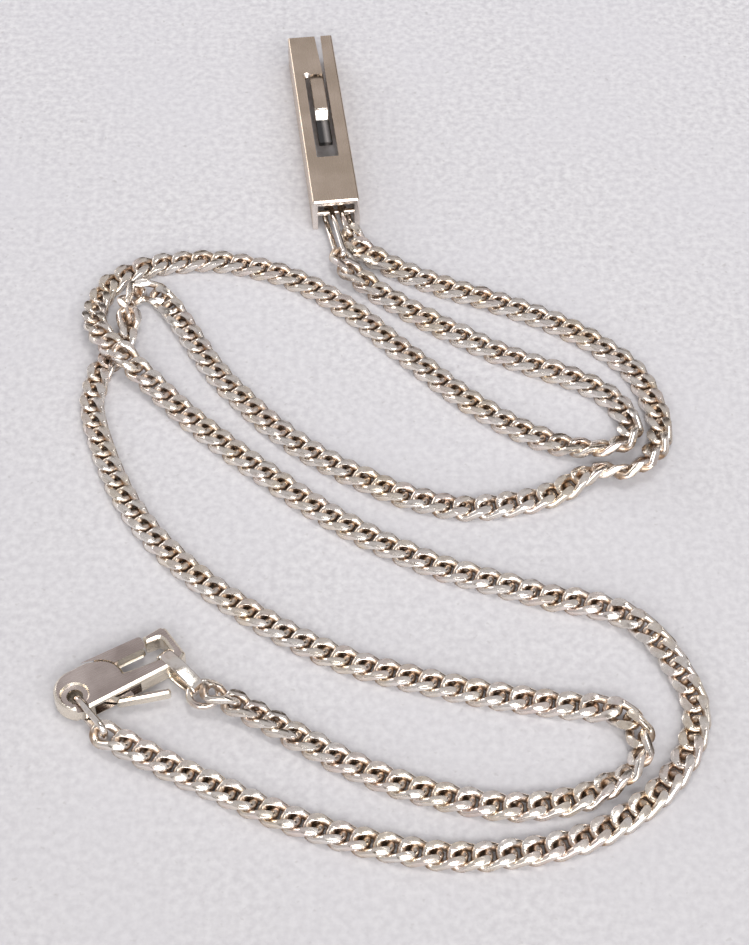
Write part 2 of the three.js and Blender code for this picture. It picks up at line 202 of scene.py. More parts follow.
# Darker specks, and the painted shade towards the front
FLOOR_SPECK_AND_SHADE = (0.42, 0.41, 0.42)
ROOM_GREY = (0.52, 0.50, 0.51)
ROOM_DARK = (0.06, 0.045, 0.035)

# Brushed grain: texture cycles per metre along X, Y and Z of the piece
BAR_GRAIN = (11000, 160, 11000)
CLASP_GRAIN = (200, 9000, 9000)
SCRATCH_GRAIN = (900, 9000, 900)
SCRATCH_ANGLE = math.radians(35)
# Height of the fine relief of all the silver, in metres
METAL_RELIEF = 0.00002
TABLE_RELIEF = 0.0003

# Strand routes: x, y and lift of the underside in millimetres, roll in degrees about the run.
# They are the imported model's, but strand B's last two points lie flatter and a little higher.
ROUTE_A = [
    (-7.3, 30.2, 1, -20), (-5.8, 26.6, 0.6, -20), (-1.9, 23.3, 0.2, 0), (6.2, 16.6, 0, 0),
    (21.5, 6.2, 0, 0), (32.5, 0.8, 0, 0), (38, -2.4, 0, 0), (41.6, -6, 0.1, 0),
    (43.4, -10.3, 0, 10), (43.6, -14, 0, 25), (41.6, -17, 0, 40), (38, -17.6, 0.1, 30),
    (29.5, -15.5, 0.2, 0), (17.5, -7.2, 0, 0), (4.9, 5.7, 0, 0), (-6.4, 18, 0, 0),
    (-17, 25.8, 0, 0), (-30, 30, 0, 0), (-42.5, 28.9, 0, 0), (-47.5, 26.2, 0, 0), (-50.6, 23, 0, 0),
    (-52, 17.8, 0.3, 0), (-52, 12.6, 1.5, 0), (-50.2, 7.9, 2.5, 0), (-46.8, 3.8, 2.6, 0),
    (-42.8, 0, 1.2, 0), (-33.5, -9.8, 0, 0), (-20.5, -22.2, 0, 0), (-6.7, -33.6, 0, 0),
    (8.3, -42.6, 0, 0), (25, -48.7, 0, 0), (38, -52.8, 0, 10), (42.5, -56.4, 0, 30),
    (46.2, -62, 0, 35), (49.6, -72.2, 0, 20), (46.8, -81.8, 0, 15), (39.8, -89.8, 0, 0),
    (29, -96, 0, 0), (10.5, -98.4, 0, 0), (-10, -93.5, 0, 0), (-29.2, -84.4, 0, 0),
    (-43.4, -77.2, 1.2, 0),
]
ROUTE_B = [
    (-5.6, 36.6, 1, 10), (-3.7, 33, 0.5, 10), (0.4, 29.9, 0.2, 0), (11.3, 23.7, 0, 0),
    (22.3, 18.9, 0, 0), (33, 13.2, 0, 0), (40, 7.8, 0, 0), (45.8, 1, 0, 0), (49, -9.8, 0, 0),
    (48.6, -15.8, 0, 20), (46.4, -20.5, 0, 50), (43, -22.8, 0, 45), (39.5, -22.6, 0, 35),
    (36, -23.4, 0, 25), (32, -26, 0, 0), (27.3, -28.4, 0, 0), (15.3, -30.6, 0, 0),
    (6.9, -28.8, 0, 0), (-1.7, -24.8, 0, 0), (-15.7, -14.8, 0, 0), (-28.6, 0.2, 0, 0),
    (-36.6, 14.2, 0, 0), (-39.6, 18.8, 0, -20), (-42.6, 21, 0, -45), (-45.2, 20, 0, -70),
    (-46.2, 16.6, 0, -75), (-45.8, 13.4, 0, -50), (-46.3, 9.8, 0, -5), (-48, 5.6, 0, 0),
    (-50, 1.8, 0, 0), (-50.8, -2.4, 0, 0), (-50.7, -8.4, 0, 0), (-43.2, -29, 0, 0),
    (-33.3, -42.5, 0, 0), (-19.5, -54.2, 0, 0), (-6.4, -62, 0, 0), (7.9, -66.8, 0, 0),
    (20.5, -69.8, 0, 0), (33, -71.8, 0, 0), (37.4, -73.2, 0, 25), (39.8, -76.4, 0, 45),
    (40.4, -79.8, 0, 55), (39, -83.2, 0, 50), (35.5, -85.8, 0, 20), (31.4, -88, 0, 0),
    (21.2, -89.9, 0, 0), (10.6, -88.2, 0, 0), (-1.6, -83.8, 0, 0), (-21.8, -72, 0.2, 15),
    (-26.7, -70.1, 0.9, 40),
]


def rolled_half_height(roll):
    """Height of a rolled run's middle above its underside."""
    return CHAIN_WIDTH / 2 * abs(math.sin(roll)) + CHAIN_THICKNESS / 2 * math.cos(roll)


def catmull_rom(p0, p1, p2, p3, steps):
    """Centripetal curve from p1 to p2, without its last point."""
    spacing = [np.linalg.norm(b - a) ** 0.5 for a, b in ((p0, p1), (p1, p2), (p2, p3))]
    before, here, after = (max(value, 1e-6) for value in spacing)
    start = (p1 - p0) / before - (p2 - p0) / (before + here) + (p2 - p1) / here
    end = (p2 - p1) / here - (p3 - p1) / (here + after) + (p3 - p2) / after
    start, end = start * here, end * here
    t = np.linspace(0, 1, steps, endpoint=False)[:, None]
    return (
        p1
        + start * t
        + (3 * (p2 - p1) - 2 * start - end) * t**2
        + (2 * (p1 - p2) + start + end) * t**3
    )


class Strand:
    """A smooth route with a roll at each point and whole links spaced evenly along it."""

    def __init__(self, route):
        points = [
            np.array((x * MM, y * MM, lift * MM + rolled_half_height(math.radians(roll))))
            + LAYOUT_SHIFT
            for x, y, lift, roll in route
        ]
        before, after = 2 * points[0] - points[1], 2 * points[-1] - points[-2]
        padded = [before, *points, after]
        pieces = [catmull_rom(*padded[i : i + 4], ROUTE_STEPS) for i in range(len(points) - 1)]
        self.path = np.vstack([*pieces, points[-1]])
        rolls = np.radians([point[3] for point in route])
        places = np.arange(len(self.path)) / ROUTE_STEPS
        self.rolls = np.interp(places, np.arange(len(rolls)), rolls)
        self.distances = np.concatenate(
            [[0], np.cumsum(np.linalg.norm(np.diff(self.path, axis=0), axis=1))]
        )
        self.length = self.distances[-1]
        self.link_count = round(self.length / LINK_PITCH)
        self.pitch = self.length / self.link_count

    def first_link(self, section):
        """Number of the first link in a section, counted from 0. The end links stay apart."""
        return 1 + math.ceil((self.link_count - 2) * section / SECTIONS_PER_STRAND)

    def point_at(self, distance):
        """Middle of the strand at a distance from its start."""
        return np.array([np.interp(distance, self.distances, self.path[:, i]) for i in range(3)])

    def frame_at(self, distance):
        """Placement with X forward, Y to the left and Z out of the flat face, and the lift."""
        reach = 0.0002
        roll = np.interp(distance, self.distances, self.rolls)
        behind = self.point_at(max(distance - reach, 0))
        forward = Vector(self.point_at(min(distance + reach, self.length)) - behind).normalized()
        left = Vector((0, 0, 1)).cross(forward).normalized()
        left.rotate(Matrix.Rotation(roll, 3, forward))
        middle = Vector(self.point_at(distance))
        middle.z = max(middle.z, rolled_half_height(roll))
        matrix = Matrix((forward, left, forward.cross(left))).transposed().to_4x4()
        matrix.translation = middle
        return matrix, middle.z - rolled_half_height(roll)


def link_point(angle):
    """Middle of a curb link's wire: a squarish oval, each side rising at one end only."""
    half_length = LINK_PITCH / 2 + LINK_WIRE + LINK_PLAY
    half_width = CHAIN_WIDTH / 2 - LINK_WIRE
    along = math.copysign(abs(math.cos(angle)) ** LINK_SQUARENESS, math.cos(angle))
    across = math.copysign(abs(math.sin(angle)) ** LINK_SQUARENESS, math.sin(angle))
    rise = -math.cos(angle) * math.sin(angle) * abs(math.sin(angle)) ** LINK_RISE_INWARD
    return Vector((half_length * along, half_width * across, LINK_RISE * rise))


def file_flat(bm, axis, height, edge, facet_slot):
    """Cuts the link off at a height on both sides of its middle and softens the new edges."""
    for side in (1, -1):
        normal = axis * side
        geometry = bm.verts[:] + bm.edges[:] + bm.faces[:]
        bmesh.ops.bisect_plane(
            bm, geom=geometry, plane_co=normal * height, plane_no=normal, clear_outer=True
        )
        rim = [line for line in bm.edges if line.is_boundary]
        filled = bmesh.ops.holes_fill(bm, edges=rim)["faces"]
        for face in filled:
            face.material_index = facet_slot
        rim = [line for face in filled for line in face.edges]
        bmesh.ops.bevel(
            bm, geom=rim, offset=edge, segments=1, profile=0.5, affect="EDGES", clamp_overlap=True
        )


def curb_link():
    """Vertices, faces, facet flags and the share of tarnishing and painted shade of one curb link,
    lying flat at the origin.
    """
    bm = bmesh.new()
    rings = []
    nearby = 0.01
    for step in range(LINK_STEPS):
        angle = 2 * math.pi * step / LINK_STEPS
        centre = link_point(angle)
        tangent = (link_point(angle + nearby) - link_point(angle - nearby)).normalized()
        side = tangent.cross(Vector((0, 0, 1))).normalized()
        up = side.cross(tangent)
        ring = []
        for corner in range(LINK_SIDES):
            turn = 2 * math.pi * corner / LINK_SIDES
            offset = side * math.cos(turn) + up * math.sin(turn)
            ring.append(bm.verts.new(centre + LINK_WIRE * offset))
        rings.append(ring)
    for step in range(LINK_STEPS):
        here, there = rings[step], rings[(step + 1) % LINK_STEPS]
        for corner in range(LINK_SIDES):
            after = (corner + 1) % LINK_SIDES
            bm.faces.new((here[corner], here[after], there[after], there[corner]))
    bmesh.ops.recalc_face_normals(bm, faces=bm.faces)
    file_flat(bm, Vector((0, 1, 0)), CHAIN_WIDTH / 2 - SIDE_FILING, SIDE_FILING / 2, facet_slot=0)
    file_flat(bm, Vector((0, 0, 1)), CHAIN_THICKNESS / 2, WORN_EDGE, facet_slot=1)
    bmesh.ops.recalc_face_normals(bm, faces=bm.faces)
    bm.verts.index_update()
    vertices = np.array([vert.co for vert in bm.verts])
    faces = [[vert.index for vert in face.verts] for face in bm.faces]
    facets = np.array([face.material_index for face in bm.faces])
    bm.free()
    return vertices, faces, facets, link_tarnish_and_shade(vertices)


def fade(values, start, width):
    """0 at start, rising to 1 over width. With a negative width it falls instead, to 0 at start."""
    return np.clip((values - start) / width, 0, 1)


def link_tarnish_and_shade(vertices):
    """0 on the outside, kept bright by wear, towards 1 in the hole, at the ends where links rub and
    hide, and underneath: tarnishing, with painted shade where the links hide each other and on the
    underside.
    """
    half_length = LINK_PITCH / 2 + LINK_WIRE + LINK_PLAY
    half_width = CHAIN_WIDTH / 2 - LINK_WIRE
    reach = np.hypot(vertices[:, 0] / half_length, vertices[:, 1] / half_width)
    # 0 on the upper flat, 1 half way down and 2 on the lower flat
    depth = 1 - vertices[:, 2] / (CHAIN_THICKNESS / 2)
    # Tarnish with painted shade: in the hole, at the hidden ends and on the underside
    inside = fade(reach, 1.08, -0.2) * fade(depth, 0, 0.25)
    ends = fade(np.abs(vertices[:, 0]), 0.002, 0.0004) * fade(depth, 0.2, 0.4)
    under = 0.8 * fade(depth, 1.15, 1)
    return np.clip(inside + ends + under, 0, 1)


def section_mesh(name, strand, first, last, link, rng):
    """One mesh of the links from first to just before last, placed along the strand."""
    vertices, faces, facets, tarnish_and_shade = link
    all_vertices, all_faces = [], []
    for number in range(first, last):
        matrix, lift = strand.frame_at((number + 0.5) * strand.pitch)
        wobble = Matrix.Rotation(math.radians(rng.gauss(0, LINK_ROLL_SPREAD)), 4, "X")
        wobble @= Matrix.Rotation(math.radians(rng.gauss(0, LINK_TURN_SPREAD)), 4, "Z")
        placed = np.array(matrix @ wobble)
        moved = vertices @ placed[:3, :3].T + placed[:3, 3]
        moved[:, 2] += lift - moved[:, 2].min()
        base = len(all_vertices) * len(vertices)
        all_vertices.append(moved)
        all_faces.extend([[base + index for index in face] for face in faces])
    count = last - first
    mesh = bpy.data.meshes.new(name)
    mesh.from_pydata(np.vstack(all_vertices).tolist(), [], all_faces)
    mesh.polygons.foreach_set("material_index", np.tile(facets, count))
    mesh.polygons.foreach_set("use_smooth", np.ones(len(all_faces), bool))
    # Share of tarnish and painted shade at each point
    attribute = mesh.attributes.new("tarnish_and_shade", "FLOAT", "POINT")
    attribute.data.foreach_set("value", np.tile(tarnish_and_shade, count).astype(np.float32))
    mesh.set_sharp_from_angle(angle=math.radians(32))
    mesh.update()
    return mesh


class NodeMaker:
    """Short calls that add nodes to a material's or a world's tree and return their outputs."""

    def __init__(self, tree):
        self.nodes = tree.nodes
        self.links = tree.links

    def axes(self, vector):
        """The X, Y and Z outputs of a vector."""
        node = self.nodes.new("ShaderNodeSeparateXYZ")
        self.links.new(vector, node.inputs["Vector"])
        return node.outputs

    def remap(self, value, low, high, to_low=0.0, to_high=1.0, smooth=False):
        """A value between low and high, moved to between to_low and to_high and held there."""
        node = self.nodes.new("ShaderNodeMapRange")
        if smooth:
            node.interpolation_type = "SMOOTHSTEP"
        numbers = {"From Min": low, "From Max": high, "To Min": to_low, "To Max": to_high}
        for socket, number in numbers.items():
            node.inputs[socket].default_value = number
        self.links.new(value, node.inputs["Value"])
        return node.outputs["Result"]

    def math(self, operation, *values):
        """Arithmetic on numbers and value outputs."""
        node = self.nodes.new("ShaderNodeMath")
        node.operation = operation
        for socket, value in zip(node.inputs, values):
            if isinstance(value, (int, float)):
                socket.default_value = value
            else:
                self.links.new(value, socket)
        return node.outputs["Value"]

    def blend(self, share, first, second):
        """A colour between two, each an RGB tuple or another colour output."""
        node = self.nodes.new("ShaderNodeMix")
        node.data_type = "RGBA"
        self.links.new(share, node.inputs["Factor"])
        for socket, value in ((node.inputs[6], first), (node.inputs[7], second)):
            if isinstance(value, tuple):
                socket.default_value = (*value, 1)
            else:
                self.links.new(value, socket)
        return node.outputs[2]


class Surface(NodeMaker):
    """A principled material whose textures follow the piece's own coordinates."""

    def __init__(self, name, color, metallic, roughness):
        self.material = bpy.data.materials.new(name)
        self.material.use_nodes = True
        super().__init__(self.material.node_tree)
        self.shader = self.nodes["Principled BSDF"]
        self.shader.inputs["Base Color"].default_value = (*color, 1)
        self.shader.inputs["Metallic"].default_value = metallic
        self.shader.inputs["Roughness"].default_value = roughness
        coordinates = self.nodes.new("ShaderNodeTexCoord")
        self.place = coordinates.outputs["Object"]
        self.normal = coordinates.outputs["Normal"]

    def stretched(self, scale, turn=0.0):
        """Coordinates turned about Z and then multiplied by a scale for each axis."""
        turned = self.nodes.new("ShaderNodeMapping")
        turned.inputs["Rotation"].default_value = (0, 0, turn)
        scaled = self.nodes.new("ShaderNodeMapping")
        scaled.inputs["Scale"].default_value = scale
        self.links.new(self.place, turned.inputs["Vector"])
        self.links.new(turned.outputs["Vector"], scaled.inputs["Vector"])
        return scaled.outputs["Vector"]

    def noise(self, scale, detail, place=None):
        """Cloudy texture with a number of cycles per metre, around 0.5."""
        node = self.nodes.new("ShaderNodeTexNoise")
        node.inputs["Scale"].default_value = scale
        node.inputs["Detail"].default_value = detail
        self.links.new(place or self.place, node.inputs["Vector"])
        return node.outputs["Fac"]

    def attribute(self, name):
        """A value stored on the mesh's points."""
        node = self.nodes.new("ShaderNodeAttribute")
        node.attribute_name = name
        return node.outputs["Fac"]

    def color(self, output):
        """Drives the base colour."""
        self.links.new(output, self.shader.inputs["Base Color"])

    def roughness(self, output):
        """Drives the roughness."""
        self.links.new(output, self.shader.inputs["Roughness"])

    def bump(self, heights, strength, distance):
        """heights: outputs whose sum is the relief."""
        total = heights[0]
        for height in heights[1:]:
            total = self.math("ADD", total, height)
        node = self.nodes.new("ShaderNodeBump")
        node.inputs["Strength"].default_value = strength
        node.inputs["Distance"].default_value = distance
        self.links.new(total, node.inputs["Height"])
        self.links.new(node.outputs["Normal"], self.shader.inputs["Normal"])


def worn_silver_color(surface, tarnish_and_shade_share):
    """Silver that drifts between neutral, yellow and pink, turning brown as its share of tarnishing
    and painted shade rises.
    """
    warm = surface.remap(surface.noise(170, 2), 0.42, 0.68)
    rosy = surface.remap(surface.noise(260, 2), 0.5, 0.72)
    drift = surface.blend(warm, BRIGHT_SILVER, WARM_SILVER)
    drift = surface.blend(rosy, drift, ROSY_SILVER)
    return surface.blend(tarnish_and_shade_share, drift, TARNISH_AND_SHADE)


def chain_wire_silver():
    """The links' round wire: bright outside, patchy brown and duller where it is tarnished and where
    shade is painted in the hole, at the ends and underneath.
    """
    surface = Surface("chain_wire_silver", BRIGHT_SILVER, 1.0, 0.2)
    patchy = surface.remap(surface.noise(900, 4), 0.3, 0.7, 0.55, 1.0)
    share = surface.math("MULTIPLY", surface.attribute("tarnish_and_shade"), patchy)
    surface.color(worn_silver_color(surface, share))
    wear = surface.remap(surface.noise(1400, 4), 0.3, 0.75, 0.12, 0.26)
    surface.roughness(surface.math("ADD", wear, surface.math("MULTIPLY", share, 0.25)))
    surface.bump([surface.noise(1600, 4), surface.noise(5200, 2)], 0.25, METAL_RELIEF)
    return surface.material


def chain_facet_silver():
    """The filed flats: finely scratched, a little browner than the round wire."""
    surface = Surface("chain_facet_silver", BRIGHT_SILVER, 1.0, 0.2)
    haze = surface.remap(surface.noise(1100, 4), 0.45, 0.75, 0.0, 0.25)
    surface.color(worn_silver_color(surface, haze))
    scratches = surface.noise(1, 3, surface.stretched(SCRATCH_GRAIN, SCRATCH_ANGLE))
    surface.roughness(surface.remap(surface.noise(1300, 4), 0.3, 0.7, 0.16, 0.32))
    surface.bump([scratches, surface.noise(1500, 3)], 0.2, METAL_RELIEF)
    return surface.material


def brush(surface, along_scale, tint, shade, rough):
    """Adds a brushed grain and returns the colour: tint, clouded with shade."""
    grain = surface.noise(1, 3, surface.stretched(along_scale))
    streaks = surface.math("MULTIPLY", grain, 0.3)
    cloud = surface.remap(surface.math("ADD", streaks, surface.noise(130, 3)), 0.5, 0.8, 0.0, 0.9)
    surface.roughness(surface.remap(grain, 0.25, 0.75, rough - 0.05, rough + 0.07))
    surface.bump([grain, surface.noise(2400, 3)], 0.12, METAL_RELIEF)
    return surface.blend(cloud, tint, shade)


def clasp_silver():
    """The clasp's silver, with a painted highlight on its sides and bevels."""
    rough = 0.24
    surface = Surface("clasp_silver", PLATE_TINT, 1.0, rough)
    color = brush(surface, CLASP_GRAIN, PLATE_TINT, PLATE_SHADE, rough)
    # Painted highlight: faces that are not flat take the brighter side colour
    flat = surface.remap(surface.math("ABSOLUTE", surface.axes(surface.normal)["Z"]), 0.82, 0.94)
    surface.color(surface.blend(flat, PLATE_SIDE_HIGHLIGHT, color))
    return surface.material


def bar_silver():
    """The clip's silver, with a painted highlight on the faces that look towards the near end."""
    rough = 0.25
    surface = Surface("bar_silver", BAR_TINT, 1.0, rough)
    color = brush(surface, BAR_GRAIN, BAR_TINT, BAR_SHADE, rough)
    # Painted highlight: the more a face looks towards the near end, the brighter it is
    near_highlight = surface.remap(surface.axes(surface.normal)["Y"], -0.25, -0.6)
    surface.color(surface.blend(near_highlight, color, BAR_NEAR_HIGHLIGHT))
    return surface.material


def tongue_silver():
    """The clip's silver, with a painted highlight on the bend and painted shadow where the tongue lies
    in the channel, eased along a painted reflection line.
    """
    rough = 0.22
    surface = Surface("tongue_silver", BAR_TINT, 1.0, rough)
    color = brush(surface, BAR_GRAIN, BAR_TINT, BAR_SHADE, rough)
    place = surface.axes(surface.place)
    below_bend, bend, above_bend = 0.0258, 0.0272, 0.028
    # Painted shadow below the bend, where the strip lies in the channel; a painted reflection line
    # near the middle keeps it lighter
    channel_shadow = surface.remap(place["Y"], below_bend, bend, 1.0, 0.0)
    beside_stripe = surface.math("ABSOLUTE", surface.math("SUBTRACT", place["X"], 0.0004))
    stripe = surface.remap(beside_stripe, 0.0, 0.0007, 0.35, 1.0)
    # Painted highlight from the bend downwards; lower down the painted shadow covers most of it
    bend_highlight = surface.remap(place["Y"], bend, above_bend, 1.0, 0.0)
    color = surface.blend(bend_highlight, color, BRIGHT_SILVER)
    color = surface.blend(surface.math("MULTIPLY", channel_shadow, stripe), color, PAINTED_CHANNEL_SHADOW)
    surface.color(color)
    return surface.material


def plain_silver(name, rough):
    """Polished silver for the wire fittings and the turned pieces."""
    surface = Surface(name, BRIGHT_SILVER, 1.0, rough)
    haze = surface.remap(surface.noise(700, 4), 0.45, 0.8, 0.0, 0.35)
    surface.color(worn_silver_color(surface, haze))
    surface.roughness(surface.remap(surface.noise(1500, 4), 0.3, 0.75, rough - 0.06, rough + 0.1))
    surface.bump([surface.noise(1700, 4)], 0.2, METAL_RELIEF)
    return surface.material


def table_paper():
    """Pale table top with fine mottling, a few darker specks and painted shade that deepens slowly to
    the front.
    """
    surface = Surface("table_paper", FLOOR_LIGHT, 0.0, 0.85)
    clouds = surface.remap(surface.noise(30, 5), 0.35, 0.7, 0.0, 0.5)
    fibres = surface.remap(surface.noise(820, 6), 0.34, 0.66)
    specks = surface.remap(surface.noise(760, 2), 0.66, 0.76, 0.0, 0.5)
    pale = surface.blend(fibres, FLOOR_LIGHT, FLOOR_DARK)
    cool = surface.blend(clouds, pale, FLOOR_COOL)
    # Painted shade: the table darkens towards the front with the speck colour
    front = surface.remap(surface.axes(surface.place)["Y"], 0.12, -0.12, 0.0, 0.52)
    surface.color(surface.blend(front, surface.blend(specks, cool, FLOOR_SPECK_AND_SHADE), FLOOR_SPECK_AND_SHADE))
    surface.bump([surface.noise(700, 6), surface.noise(60, 3)], 0.2, TABLE_RELIEF)
    return surface.material


def new_object(name, data):
    """An object in the scene that shows a mesh, light or camera."""
    item = bpy.data.objects.new(name, data)
    bpy.context.scene.collection.objects.link(item)
    return item


def add_camera():
    """The photo's view, from in front of the table and above it."""
    data = bpy.data.cameras.new("camera")
    data.lens = CAMERA_LENS
    data.sensor_width = CAMERA_SENSOR
    camera = new_object("camera", data)
    camera.location = CAMERA_PLACE
    camera.rotation_euler = (CAMERA_TILT, 0, 0)
    bpy.context.scene.camera = camera


def add_softbox(name, location, size, power, color):
    """Rectangular light that faces the origin."""
    data = bpy.data.lights.new(name, "AREA")
    data.shape = "RECTANGLE"
    data.size, data.size_y = size
    data.energy = power
    data.color = color
    light = new_object(name, data)
    light.location = location
    light.rotation_euler = (-Vector(location)).to_track_quat("-Z", "Y").to_euler()


def room_world():
    """Mid-grey room with a dark ceiling and a far wall that is dark low down, but for its left."""
    world = bpy.data.worlds.new("room")
    world.use_nodes = True
    maker = NodeMaker(world.node_tree)
    coordinates = maker.nodes.new("ShaderNodeTexCoord")
    view = maker.axes(coordinates.outputs["Generated"])
    low = maker.remap(view["Z"], 0.52, 0.34, smooth=True)
    far = maker.remap(view["Y"], 0.1, 0.45, smooth=True)
    right = maker.remap(view["X"], -0.5, -0.2, smooth=True)
    wall = maker.math("MULTIPLY", maker.math("MULTIPLY", low, far), right)
    ceiling = maker.remap(view["Z"], 0.86, 0.96, smooth=True)
    color = maker.blend(ceiling, ROOM_GREY, ROOM_DARK)
    color = maker.blend(wall, color, ROOM_DARK)
    background = maker.nodes["Background"]
    maker.links.new(color, background.inputs["Color"])
    background.inputs["Strength"].default_value = 1.0
    return world


def add_lights():
    """The softboxes, and the room that the silver mirrors."""
    for softbox in SOFTBOXES:
        add_softbox(*softbox)
    bpy.context.scene.world = room_world()
    bpy.context.scene.view_settings.view_transform = "Standard"


def add_floor():
    """The table top, level with the model's underside."""
    half = FLOOR_HALF_WIDTH
    mesh = bpy.data.meshes.new("floor")
    corners = [(-half, -half, 0), (half, -half, 0), (half, half, 0), (-half, half, 0)]
    mesh.from_pydata(corners, [], [(0, 1, 2, 3)])
    mesh.materials.append(table_paper())
    floor = new_object("floor", mesh)
    floor.location.z = cad_box[0].z


def body_holding(node):
    """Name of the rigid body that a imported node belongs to."""
    bodies = frame["record"]["behaviour"]["bodies"]
    return next(body for body, members in bodies.items() if node in members)


def add_piece(name, mesh, node, materials, placement=None):
    """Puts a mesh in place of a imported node, on the node's own body."""
    mesh.name = name
    for material in materials:
        mesh.materials.append(material)
    piece = new_object(name, mesh)
    if placement is not None:
        piece.matrix_world = placement
    bpy.context.view_layer.update()
    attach(piece, body_holding(node))
    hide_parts(node)


def add_strand(letter, strand, materials, seed):
    """One piece for each section of a strand and for its two end links."""
    link = curb_link()
    rng = random.Random(seed)
    stretches = [("first", 0, 1, f"link_{letter}_first")]
    for section in range(SECTIONS_PER_STRAND):
        label = f"{section + 1:02d}"
        ends = strand.first_link(section), strand.first_link(section + 1)
        stretches.append((label, *ends, f"chain_{letter}_{label}"))
    last = strand.link_count
    stretches.append(("last", last - 1, last, f"link_{letter}_last"))
    for label, start, end, node in stretches:
        name = f"curb_links_{letter}_{label}"
        mesh = section_mesh(name, strand, start, end, link, rng)
        add_piece(name, mesh, node, materials)


def run_modifiers(mesh, settings):
    """The mesh after a list of modifiers, each a type and its settings."""
    work = new_object("work", mesh)
    tools = []
    for kind, values in settings:
        modifier = work.modifiers.new(kind.lower(), kind)
        for key, value in values.items():
            if key == "object":
                value = new_object("tool", value)
                tools.append(value)
            setattr(modifier, key, value)
    bpy.context.view_layer.update()
    shaped = work.evaluated_get(bpy.context.evaluated_depsgraph_get())
    result = bpy.data.meshes.new_from_object(shaped)
    result.materials.clear()
    for item in [work, *tools]:
        bpy.data.objects.remove(item)
    return result


def cut_away(mesh, tools):
    """The mesh without the space taken by any of the tools."""
    return run_modifiers(mesh, [
        ("BOOLEAN", {"object": tool, "operation": "DIFFERENCE", "solver": "EXACT",
                     "use_hole_tolerant": True}) for tool in tools
    ])


def merge(meshes):
    """One solid from several overlapping ones."""
    return run_modifiers(meshes[0], [
        ("BOOLEAN", {"object": tool, "operation": "UNION", "solver": "EXACT"}) for tool in meshes[1:]
    ])


def soften(mesh, width):
    """Rounds every edge over 28 degrees by a width in millimetres and keeps the flats flat."""
    mesh = run_modifiers(mesh, [
        ("WELD", {"merge_threshold": 0.000004}),
        ("BEVEL", {"width": width * MM, "segments": 2, "limit_method": "ANGLE",
                   "angle_limit": math.radians(28), "harden_normals": True}),
    ])
    for face in mesh.polygons:
        face.use_smooth = True
    return run_modifiers(mesh, [("WEIGHTED_NORMAL", {"keep_sharp": True, "weight": 80})])


def finished(form, name):
    """The mesh made from a bmesh, with its faces turned outwards."""
    bmesh.ops.recalc_face_normals(form, faces=form.faces)
    mesh = bpy.data.meshes.new(name)
    form.to_mesh(mesh)
    form.free()
    return mesh


def smooth_below(mesh, degrees):
    """Shades the mesh smooth, but for edges sharper than an angle."""
    for face in mesh.polygons:
        face.use_smooth = True
    mesh.set_sharp_from_angle(angle=math.radians(degrees))
    return mesh


def bridge(form, rows, closed=False):
    """Faces between each row of vertices and the next. Closed: from the last to the first too."""
    pairs = list(zip(rows, rows[1:]))
    if closed:
        pairs.append((rows[-1], rows[0]))
    for row, after in pairs:
        for index in range(max(len(row), len(after))):
            following = index + 1
            corners = [row[index % len(row)], after[index % len(after)],
                       after[following % len(after)], row[following % len(row)]]
            form.faces.new(list(dict.fromkeys(corners)))


def fillet(corners, steps=6):
    """Closed outline in metres from corners in millimetres: x, y, radius."""
    outline = []
    count = len(corners)
    for index, (x, y, radius) in enumerate(corners):
        corner = Vector((x, y))
        if radius == 0:
            outline.append(corner * MM)
            continue
        before = (Vector(corners[index - 1][:2]) - corner).normalized()
        after = (Vector(corners[(index + 1) % count][:2]) - corner).normalized()
        half = before.angle(after) / 2
        reach = radius / math.tan(half)
        middle = corner + (before + after).normalized() * radius / math.sin(half)
        start = corner + before * reach - middle
        turn = -start.angle_signed(corner + after * reach - middle)
        for step in range(steps + 1):
            angle = turn * step / steps
            spoke = Vector((start.x * math.cos(angle) - start.y * math.sin(angle),
                            start.x * math.sin(angle) + start.y * math.cos(angle)))
            outline.append((middle + spoke) * MM)
    return outline


def arc(center, radius, start, end, steps):
    """Corners without radius along an arc, in millimetres and degrees."""
    x, y = center
    corners = []
    for step in range(steps + 1):
        angle = math.radians(start + (end - start) * step / steps)
        corners.append((x + radius * math.cos(angle), y + radius * math.sin(angle), 0))
    return corners


def prism(outline, low, high, upright=False):
    """Solid between two heights in millimetres. Upright: drawn in y and z, its depth along X."""
    form = bmesh.new()
    base = form.faces.new([form.verts.new((point[0], point[1], low * MM)) for point in outline])
    grown = bmesh.ops.extrude_face_region(form, geom=[base])
    top = [item for item in grown["geom"] if isinstance(item, bmesh.types.BMVert)]
    bmesh.ops.translate(form, verts=top, vec=(0, 0, (high - low) * MM))
    if upright:
        for vertex in form.verts:
            x, y, z = vertex.co
            vertex.co = (z, x, y)
    return finished(form, "prism")


def inset(corners, amount):
    """The corners with every side moved inwards and every fillet kept concentric."""
    least_radius = 0.02
    moved = []
    count = len(corners)
    for index, (x, y, radius) in enumerate(corners):
        corner = Vector((x, y))
        to_here = (corner - Vector(corners[index - 1][:2])).normalized()
        onward = (Vector(corners[(index + 1) % count][:2]) - corner).normalized()
        inward = Vector((-to_here.y, to_here.x)) + Vector((-onward.y, onward.x))
        place = corner + inward * amount / (1 + to_here.dot(onward))
        convex = to_here.cross(onward) > 0
        kept = max(radius - amount, least_radius) if convex else radius + amount
        moved.append((*place, kept if radius > 0 else 0))
    return moved


